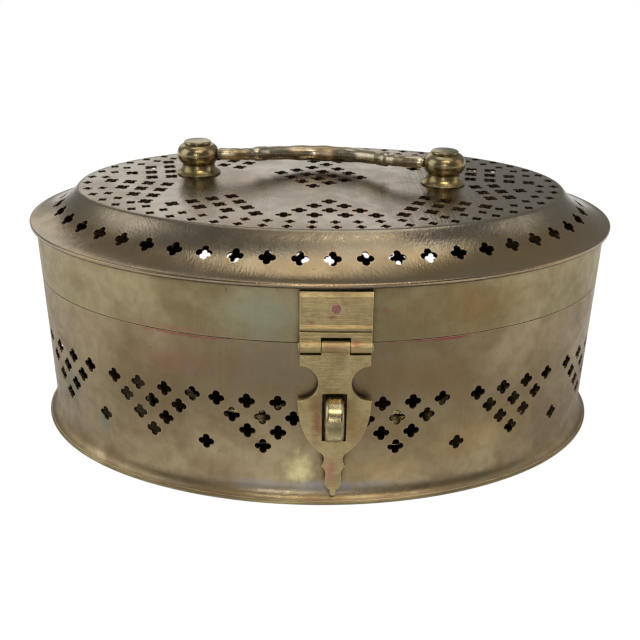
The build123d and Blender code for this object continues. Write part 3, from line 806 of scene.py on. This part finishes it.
@dataclass
class PressedLid:
    """The lid's plain band and its pierced, pressed top."""

    bench: Bench
    crease: float = 38.0

    def build(self) -> None:
        """Builds the band and the top."""
        band = self.bench.cleaned("lid_band", "lid_band_sheet", self.crease)
        self.bench.seat(band, BAND_FINISH, Slot.WALL, Body.LID.value, "lid_band")
        top = self.bench.cleaned("lid_top", "pierced_lid_top", self.crease)
        self.bench.seat(top, LID_FINISH, Slot.LID, Body.LID.value, "lid_top")


@dataclass
class FrontHasp:
    """The hasp: its leaf, strap, staple, pin and rivet."""

    bench: Bench
    edge_width: float = 0.45
    rivet_crown: float = 0.25

    def build(self) -> None:
        """Builds every piece of the hasp."""
        for node, name, finish, body, width in (
            ("hasp_leaf", "hasp_top_leaf", HASP_FINISH, Body.LID, self.edge_width),
            ("hasp_strap", "hasp_drop_strap", HASP_FINISH, Body.HASP, 0.8 * self.edge_width),
            ("hasp_staple", "lock_staple", STAPLE_FINISH, Body.BASE, 0.25),
        ):
            piece = self.bench.cleaned(node, name, 30.0, flatten=True)
            self.bench.rounded_edges(piece, width)
            self.bench.seat(piece, finish, Slot.HASP, body.value, node)
        pin = self.bench.cleaned("hasp_pin", "hasp_knuckle_pin", flatten=True)
        self.bench.rounded_edges(pin, 0.2, 2)
        self.bench.seat(pin, PIN_FINISH, Slot.PIN, Body.LID.value, "hasp_pin")
        rivet = self.bench.cleaned("hasp_rivet", "hasp_leaf_rivet", flatten=True)
        self.bench.rounded_edges(rivet, self.rivet_crown, 3)
        self.bench.seat(rivet, RIVET_FINISH, Slot.RIVET, Body.LID.value, "hasp_rivet")


@dataclass
class DropHandle:
    """Two turned posts and the cast bail that swings between them.

    Sizes are in millimetres and follow the CAD's own.
    """

    bench: Bench
    centre: tuple[float, float] = (-1.1, 6.7)
    post_spacing: float = 116.5
    turn: float = -7.3
    lid_top: float = 113.73
    pivot_lift: float = 9.6
    droop: float = 8.0
    pin_radius: float = 1.9
    pin_tip: float = 53.4
    arm_start: float = 47.8
    bow_end: tuple[float, float] = (29.5, 8.2)
    bow_rise: float = 13.0
    arm_radius: float = 2.9
    collar_radius: float = 3.45
    bow_radius: tuple[float, float] = (3.1, 3.75)
    swells: int = 5
    swell_height: float = 0.16
    ring_sides: int = 28
    post_profile: tuple[tuple[float, float], ...] = (
        (0.0, -3.4), (3.6, -3.4), (3.6, -2.3), (2.5, -2.2), (2.5, 0.0), (10.0, 0.0), (10.2, 0.25),
        (10.2, 0.75),
        (9.9, 1.0), (9.2, 1.4), (8.5, 2.1), (7.95, 2.9), (7.6, 3.8), (7.45, 4.5), (7.5, 4.9), (7.9, 5.4),
        (8.7, 6.2), (9.35, 7.2), (9.75, 8.4), (9.85, 9.6), (9.75, 10.7), (9.35, 11.9), (8.65, 12.9),
        (7.7, 13.7),
        (6.7, 14.1), (6.2, 14.2), (6.05, 14.35), (6.3, 14.55), (6.4, 14.9), (6.25, 15.3), (5.8, 15.55),
        (5.0, 15.65), (0.0, 15.7),
    )

    def frame_matrix(self) -> Matrix:
        """Returns the handle's frame: X along the posts, Z up, origin on the lid's top between them."""
        middle = Vector((*self.centre, self.lid_top)) * MM
        return Matrix.Translation(middle) @ Matrix.Rotation(math.radians(self.turn), 4, "Z")

    def build(self) -> None:
        """Builds the posts, their washers and the bail."""
        for side, name in ((-1, "left"), (1, "right")):
            self._post(side, name)
        washers = self.bench.cleaned("post_washers", "post_inner_washers")
        self.bench.seat(washers, RIVET_FINISH, Slot.RIVET, Body.LID.value, "post_washers")
        self._bail()

    def _post(self, side: int, name: str) -> None:
        """Turns one post and bores its socket.

        Args:
            side: -1 for the left post and 1 for the right.
            name: the side's name.
        """
        form = self.bench.spun(self.post_profile, name)
        place = self.frame_matrix() @ Matrix.Translation((side * self.post_spacing / 2 * MM, 0, 0))
        bmesh.ops.transform(form, matrix=place, verts=form.verts)
        post = self.bench.piece_from(form, f"turned_post_{name}", 26.0)
        self._bore(post, side)
        self.bench.seat(post, POST_FINISH, Slot.HANDLE, Body.LID.value, f"handle_post_{name}")

    def _bore(self, post: bpy.types.Object, side: int) -> None:
        """Cuts the socket that the bail's pin turns in."""
        length = 7.4 * MM
        form = bmesh.new()
        bmesh.ops.create_cone(
            form, cap_ends=True, segments=32, radius1=(self.pin_radius + 0.1) * MM,
            radius2=(self.pin_radius + 0.1) * MM, depth=length,
        )
        middle = side * (self.pin_tip + 0.4) * MM - side * length / 2
        place = self.frame_matrix() @ Matrix.Translation((middle, 0, self.pivot_lift * MM))
        bmesh.ops.transform(form, matrix=place @ Matrix.Rotation(math.pi / 2, 4, "Y"), verts=form.verts)
        cutter = self.bench.piece_from(form, "socket_cutter")
        cut = post.modifiers.new("socket", "BOOLEAN")
        cut.operation = "DIFFERENCE"
        cut.solver = "EXACT"
        cut.object = cutter
        evaluated = post.evaluated_get(bpy.context.evaluated_depsgraph_get())
        carved = bpy.data.meshes.new_from_object(evaluated)
        post.modifiers.clear()
        post.data = carved
        bpy.data.objects.remove(cutter)

    @staticmethod
    def _tangent_arc(start: Vector, heading: Vector, end: Vector, steps: int) -> list[Vector]:
        """Points on the arc that leaves start along heading and passes through end.

        Args:
            start: where it starts.
            heading: unit direction in which it leaves.
            end: where it ends.
            steps: number of points after the start.

        Returns:
            The points after the start, the last one at the end.
        """
        side = Vector((-heading.y, heading.x))
        chord = end - start
        radius = chord.length_squared / (2 * chord.dot(side))
        centre = start + side * radius
        sweep = 2 * math.asin(chord.length / (2 * abs(radius)))
        if chord.dot(heading) < 0:
            sweep = math.tau - sweep
        points = []
        for step in range(1, steps + 1):
            turn = Matrix.Rotation(math.copysign(sweep * step / steps, radius), 2)
            points.append(centre + turn @ (start - centre))
        return points

    def _stations(self) -> list[tuple[Vector, float]]:
        """Centre points and radii of the bail from its middle to its right-hand pin, in its own plane."""
        end = Vector(self.bow_end)
        half = end.x
        bow_arc = (half**2 + self.bow_rise**2) / (2 * self.bow_rise)
        centre_y = end.y + self.bow_rise - bow_arc
        low, high = self.bow_radius
        stations = []
        for step in range(26):
            x = (half - 2.6) * step / 25
            y = centre_y + math.sqrt(bow_arc**2 - x**2)
            share = x / half
            swell = self.swell_height * math.cos(math.tau * self.swells * share / 2)
            radius = low + (high - low) * math.cos(share * math.pi / 2) ** 1.2 + swell * (1 - share**4)
            stations.append((Vector((x, y)), radius))
        bow_heading = Vector((1.0, -half / math.sqrt(bow_arc**2 - half**2))).normalized()
        wide = self.collar_radius
        bead = ((-3.3, wide - 0.25), (-2.8, wide), (0.0, wide + 0.05), (2.8, wide), (3.3, wide - 0.3))
        for along, radius in bead:
            stations.append((end + bow_heading * along, radius))
        arm = self._tangent_arc(Vector((self.arm_start, 0)), Vector((-1, 0)), end, 24)
        arm.reverse()
        for index, point in enumerate(arm):
            if (point - end).length < 3.8:
                continue
            swell = 0.12 * math.sin(0.9 * index) * math.sin(math.pi * index / len(arm))
            stations.append((point, self.arm_radius - 0.1 + swell))
        edge = self.arm_start
        pin = self.pin_radius
        tip = self.pin_tip
        for x, radius in ((edge, 2.7), (edge + 0.1, 1.95), (edge + 0.4, pin), (tip - 0.4, pin), (tip, 1.5)):
            stations.append((Vector((x, 0.0)), radius))
        return stations

    def _bail(self) -> None:
        """Draws a ring along the bail's centreline and closes both ends."""
        right = self._stations()
        left = [(Vector((-point.x, point.y)), radius) for point, radius in right[:0:-1]]
        stations = left + right
        form = bmesh.new()
        ring = bmesh.ops.create_circle(form, cap_ends=False, radius=1.0, segments=self.ring_sides)["verts"]
        base_ring = [vert.co.copy() for vert in ring]
        edges = list({edge for vert in ring for edge in vert.link_edges})
        rings = []
        for index, (point, radius) in enumerate(stations):
            if index > 0:
                made = bmesh.ops.extrude_edge_only(form, edges=edges)["geom"]
                ring = [item for item in made if isinstance(item, bmesh.types.BMVert)]
                edges = [item for item in made if isinstance(item, bmesh.types.BMEdge)]
            before = stations[max(index - 1, 0)][0]
            after = stations[min(index + 1, len(stations) - 1)][0]
            ahead = (after - before).normalized()
            rings.append((ring, point, ahead, radius))
        order = {vert: place for place, vert in enumerate(rings[0][0])}
        for ring, point, ahead, radius in rings:
            if ring is not rings[0][0]:
                order = self._matched(ring, order)
            across = Vector((ahead.y, -ahead.x, 0.0))
            for vert in ring:
                spot = base_ring[order[vert]]
                offset = across * spot.x + Vector((0, 0, 1)) * spot.y
                vert.co = (Vector((point.x, point.y, 0)) + offset * radius) * MM
        for ring in (rings[0][0], rings[-1][0]):
            bmesh.ops.contextual_create(form, geom=ring)
        lift = Matrix.Translation((0, 0, self.pivot_lift * MM))
        tilt = Matrix.Rotation(-math.radians(self.droop), 4, "X")
        bmesh.ops.transform(form, matrix=self.frame_matrix() @ lift @ tilt, verts=form.verts)
        bmesh.ops.recalc_face_normals(form, faces=form.faces)
        bail = self.bench.piece_from(form, "cast_drop_bail", 50.0)
        self.bench.seat(bail, BAIL_FINISH, Slot.HANDLE, Body.HANDLE.value, "bail")

    @staticmethod
    def _matched(ring: list, order: dict) -> dict:
        """Numbers a new ring's points like those of the ring that it was drawn from."""
        matched = {}
        for vert in ring:
            for edge in vert.link_edges:
                other = edge.other_vert(vert)
                if other in order:
                    matched[vert] = order[other]
        return matched


@dataclass
class BackHinge:
    """The back hinge: two leaves, their rivets and the pin."""

    bench: Bench
    edge_width: float = 0.2

    def build(self) -> None:
        """Builds every piece of the hinge."""
        for node, name, finish, slot, body in (
            ("hinge_lower_leaf", "hinge_base_leaf", HINGE_FINISH, Slot.HINGE, Body.BASE),
            ("hinge_lower_rivets", "hinge_base_rivets", RIVET_FINISH, Slot.RIVET, Body.BASE),
            ("hinge_pin", "hinge_knuckle_pin", PIN_FINISH, Slot.PIN, Body.BASE),
            ("hinge_upper_leaf", "hinge_lid_leaf", HINGE_FINISH, Slot.HINGE, Body.LID),
            ("hinge_upper_rivets", "hinge_lid_rivets", RIVET_FINISH, Slot.RIVET, Body.LID),
        ):
            piece = self.bench.cleaned(node, name, flatten=True)
            self.bench.rounded_edges(piece, self.edge_width, 2)
            self.bench.seat(piece, finish, slot, body.value, node)


@dataclass
class SpiceCups:
    """Seven spun cups with rolled rims, and the spoon beside them."""

    bench: Bench
    count: int = 7
    profile: tuple[tuple[float, float], ...] = (
        (0.0, 0.35), (19.0, 0.35), (19.4, 0.0), (21.0, 0.0), (23.0, 0.45), (25.0, 1.8), (26.6, 4.0),
        (27.4, 6.4), (27.8, 9.0), (28.2, 20.0), (28.25, 20.3), (28.1, 20.6), (28.3, 20.9),
        (28.6, 34.6), (29.0, 35.6),
        (29.7, 36.1), (30.0, 36.9), (29.7, 37.7), (29.0, 38.0), (28.2, 37.8), (27.8, 37.0), (27.7, 34.0),
        (27.2, 20.0), (26.8, 9.0), (26.4, 6.8), (25.5, 4.6), (24.0, 2.6), (22.2, 1.4), (20.8, 0.95),
        (0.0, 1.0),
    )

    def build(self) -> None:
        """Spins each cup in its CAD node's place, and makes the spoon."""
        for number in range(1, self.count + 1):
            node = f"katori_{number}"
            low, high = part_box(node)
            form = self.bench.spun(self.profile, node, 64)
            middle = (low + high) / 2
            place = Matrix.Translation((middle.x, middle.y, low.z))
            bmesh.ops.transform(form, matrix=place, verts=form.verts)
            cup = self.bench.piece_from(form, f"spice_cup_{number}", 40.0)
            self.bench.seat(cup, CUP_FINISH, Slot.CUP, f"cup_{number}", node)
        spoon = self.bench.cleaned("spice_spoon", "masala_spoon", flatten=True)
        self.bench.rounded_edges(spoon, 0.25, 3)
        self.bench.seat(spoon, CUP_FINISH, Slot.CUP, Body.SPOON.value, "spice_spoon")


# ---------------------------------------------------------------- studio
@dataclass(frozen=True)
class SoftBox:
    """One soft light.

    Attributes:
        name: what it is called.
        place: where it stands, in metres.
        size: its width and height, in metres.
        power: its power, in watts.
        colour: its colour.
    """

    name: str
    place: Triple
    size: tuple[float, float]
    power: float
    colour: Colour = (1.0, 1.0, 1.0)


@dataclass
class Studio:
    """A pale floor, soft boxes and the camera.

    Attributes:
        target: what the soft boxes are turned to, in metres.
        floor_radius: the floor's radius, in metres.
        floor_glow: the floor's light beside the foot, a little away, and beyond, for reflections.
        floor_shown: the floor's own light for the camera.
        foot_half_size: half size of the foot's oval, in metres, which the floor's light follows.
        room_glow: the room's light on the camera's side and behind the box.
        camera_place: where the camera stands, in metres.
        pitch: how far it looks down, in radians.
        heading: how far it looks to the right of +Y, in radians.
        roll: how far it leans, in radians.
        lens: focal length, in millimetres.
        shift: the lens's sideways and upward shift.
        boxes: the soft boxes.
    """

    target: Triple = (0.0, 0.0, 0.06)
    floor_radius: float = 9.0
    floor_glow: Triple = (0.70, 0.15, 0.46)
    floor_shown: float = 0.94
    foot_half_size: Triple = (0.137, 0.095, 1.0)
    room_glow: tuple[float, float] = (0.10, 0.26)
    camera_place: Triple = (-0.00633, -0.38655, 0.2221)
    pitch: float = 0.4292
    heading: float = 0.0201
    roll: float = 0.0148
    lens: float = 47.66
    shift: tuple[float, float] = (-0.0043, -0.0081)
    boxes: tuple[SoftBox, ...] = (
        SoftBox("overhead_box", (0.1, 0.1, 1.5), (1.3, 0.8), 4.0),
        SoftBox("left_box", (-1.25, -0.15, 0.65), (0.9, 1.2), 4.2),
        SoftBox("right_box", (1.35, -0.05, 0.60), (0.7, 1.2), 1.8),
        SoftBox("back_box", (-0.5, 1.8, 0.9), (1.8, 0.9), 4.2),
        SoftBox("front_window", (-0.16, -1.6, 0.56), (0.34, 0.42), 3.0),
        SoftBox("upper_front_box", (0.16, -0.95, 1.45), (0.8, 0.25), 6.0, (1.0, 0.90, 0.72)),
    )

    def build(self) -> None:
        """Builds the floor, the room's light, the soft boxes and the camera."""
        self._floor()
        self._room()
        for box in self.boxes:
            self._soft_box(box)
        self._camera()
        bpy.context.scene.view_settings.view_transform = "Standard"

    def _floor(self) -> None:
        """Lays the pale floor just below the foot, plain to the camera and shaded for reflections."""
        form = bmesh.new()
        bmesh.ops.create_circle(form, cap_ends=True, radius=self.floor_radius, segments=96)
        bmesh.ops.translate(form, vec=(0, 0, -0.0001), verts=form.verts)
        floor = Bench.piece_from(form, "studio_floor")
        paint = bpy.data.materials.new("pale_floor")
        paint.use_nodes = True
        wires = Wires(paint.node_tree)
        place = wires.add("TexCoord").outputs["Object"]
        shape = wires.vector("DIVIDE", place, self.foot_half_size).outputs["Vector"]
        reach = wires.vector("LENGTH", shape).outputs["Value"]
        close, middle, away = self.floor_glow
        parts = wires.add("SeparateXYZ")
        wires.feed(parts.inputs[0], shape)
        sideways = wires.math("ABSOLUTE", parts.outputs[0])
        near_share = wires.ramp(sideways, 0.45, 1.0, close, 0.6 * close)
        middle_share = wires.ramp(sideways, 0.85, 1.5, middle, 0.52)
        near_glow = wires.ramp(reach, 1.15, 1.95, near_share, middle_share)
        far_glow = wires.ramp(reach, 2.3, 3.3, 0.0, away - middle)
        fading = wires.ramp(reach, 5.0, 14.0, 1.0, 0.9)
        glow = wires.math("MULTIPLY", wires.math("ADD", near_glow, far_glow), fading)
        seen = wires.add("LightPath").outputs["Is Camera Ray"]
        shown = wires.add("MapRange")
        for socket, value in zip(shown.inputs[:5], (seen, 0.0, 1.0, glow, self.floor_shown)):
            wires.feed(socket, value)
        shader = paint.node_tree.nodes["Principled BSDF"]
        shader.inputs["Base Color"].default_value = (0.22, 0.22, 0.22, 1.0)
        shader.inputs["Roughness"].default_value = 0.8
        shader.inputs["Specular IOR Level"].default_value = 0.1
        shader.inputs["Emission Color"].default_value = (1.0, 1.0, 1.0, 1.0)
        wires.feed(shader.inputs["Emission Strength"], shown.outputs[0])
        floor.data.materials.append(paint)

    def _room(self) -> None:
        """Lights the room evenly, darker towards the camera's side."""
        world = bpy.data.worlds.new("studio_room")
        bpy.context.scene.world = world
        world.use_nodes = True
        wires = Wires(world.node_tree)
        direction = wires.add("TexCoord").outputs["Generated"]
        parts = wires.add("SeparateXYZ")
        wires.feed(parts.inputs[0], direction)
        across = wires.ramp(parts.outputs[1], -0.9, 0.7, *self.room_glow)
        backdrop = world.node_tree.nodes["Background"]
        seen = wires.add("LightPath").outputs["Is Camera Ray"]
        shown = wires.add("MapRange")
        for socket, value in zip(shown.inputs[:5], (seen, 0.0, 1.0, across, 1.0)):
            wires.feed(socket, value)
        wires.feed(backdrop.inputs["Strength"], shown.outputs[0])
        backdrop.inputs["Color"].default_value = (1.0, 1.0, 1.0, 1.0)

    def _soft_box(self, box: SoftBox) -> None:
        """Hangs one soft box, turned to the spice box and unseen by the camera."""
        lamp = bpy.data.lights.new(box.name, "AREA")
        lamp.shape = "RECTANGLE"
        lamp.size, lamp.size_y = box.size
        lamp.energy = box.power
        lamp.color = box.colour
        light = bpy.data.objects.new(box.name, lamp)
        light.location = box.place
        light.rotation_euler = (Vector(self.target) - Vector(box.place)).to_track_quat("-Z", "Y").to_euler()
        light.visible_camera = False
        bpy.context.scene.collection.objects.link(light)

    def _camera(self) -> None:
        """Sets the camera at the front, a little above the lid."""
        data = bpy.data.cameras.new("front_camera")
        data.lens = self.lens
        data.sensor_width = 36.0
        data.shift_x, data.shift_y = self.shift
        data.clip_start, data.clip_end = 0.01, 50.0
        ahead = Vector((math.sin(self.heading), math.cos(self.heading), 0)) * math.cos(self.pitch)
        ahead.z = -math.sin(self.pitch)
        right = Vector((math.cos(self.heading), -math.sin(self.heading), 0))
        up = right.cross(ahead)
        rolled = right * math.cos(self.roll) + up * math.sin(self.roll)
        upward = up * math.cos(self.roll) - right * math.sin(self.roll)
        turn = Matrix((rolled, upward, -ahead)).transposed().to_4x4()
        camera = bpy.data.objects.new("front_camera", data)
        camera.matrix_world = Matrix.Translation(self.camera_place) @ turn
        bpy.context.scene.collection.objects.link(camera)
        bpy.context.scene.camera = camera


def main() -> None:
    """Builds the box piece by piece, then the studio round it."""
    logging.basicConfig(level=logging.INFO, format="%(name)s: %(message)s")
    bench = Bench()
    for assembly in (PiercedBase, PressedLid, FrontHasp, DropHandle, BackHinge, SpiceCups):
        assembly(bench).build()
    Studio().build()


if __name__ == "__main__":
    main()
